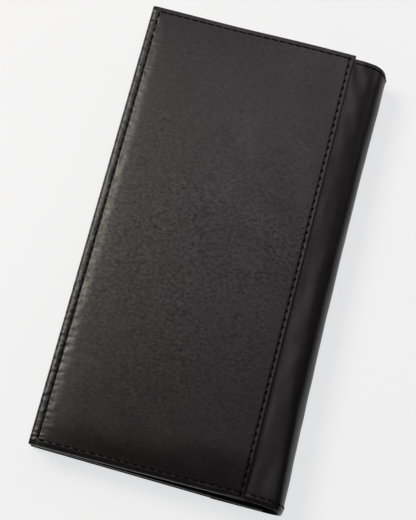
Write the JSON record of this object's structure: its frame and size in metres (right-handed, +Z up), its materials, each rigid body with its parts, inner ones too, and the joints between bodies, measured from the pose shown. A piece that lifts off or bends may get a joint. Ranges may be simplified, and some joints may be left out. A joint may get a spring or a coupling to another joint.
{
  "type": "rodeo wallet",
  "caption": "Long bifold leather wallet with stitched padded covers round a soft fold, opening flat on card pockets, an identity window, a chequebook pocket and a slip pocket.",
  "frame": {"origin": "on the surface that the wallet lies on, under the middle of its box", "axes": "+X from the free edges to the fold, +Y from the foot to the head, +Z up from the back cover to the front cover"},
  "size_m": [0.0996, 0.1836, 0.0201],
  "materials": {
    "cover_leather": "smooth, semi-matt, black",
    "inner_leather": "smooth, matt, black",
    "lining_cloth": "matt black plain weave",
    "filler_felt": "matt grey-brown felt",
    "clear_film": "clear, glossy"
  },
  "bodies": {
    "back_half": {"back_cover": "cover_leather", "back_filler": "filler_felt", "back_lining": "lining_cloth", "back_inner_panel": "inner_leather", "chequebook_pocket": "inner_leather", "slip_pocket": "inner_leather"},
    "fold": {"fold_leather": "cover_leather", "fold_lining": "lining_cloth"},
    "front_half": {"front_cover": "cover_leather", "front_filler": "filler_felt", "front_lining": "lining_cloth", "front_inner_panel": "inner_leather", "id_window_film": "clear_film", "id_window_frame": "inner_leather", "card_pocket_1": "inner_leather", "card_pocket_2": "inner_leather", "card_pocket_3": "inner_leather", "card_pocket_4": "inner_leather", "card_pocket_5": "inner_leather"}
  },
  "joints": [
    {"name": "back_fold", "type": "hinge", "parent": "back_half", "child": "fold", "pos_m": [0.04768, 0, 0.00411], "axis": [0, 1, 0], "range_deg": [0, 91.51], "deforming": ["fold_leather", "fold_lining"]},
    {"name": "front_fold", "type": "hinge", "parent": "fold", "child": "front_half", "pos_m": [0.04735, 0, 0.01672], "axis": [0, 1, 0], "range_deg": [0, 91.51], "deforming": ["fold_leather", "fold_lining"]}
  ],
  "couplings": [
    {"joint": "front_fold", "follows": "back_fold", "ratio": 1}
  ]
}
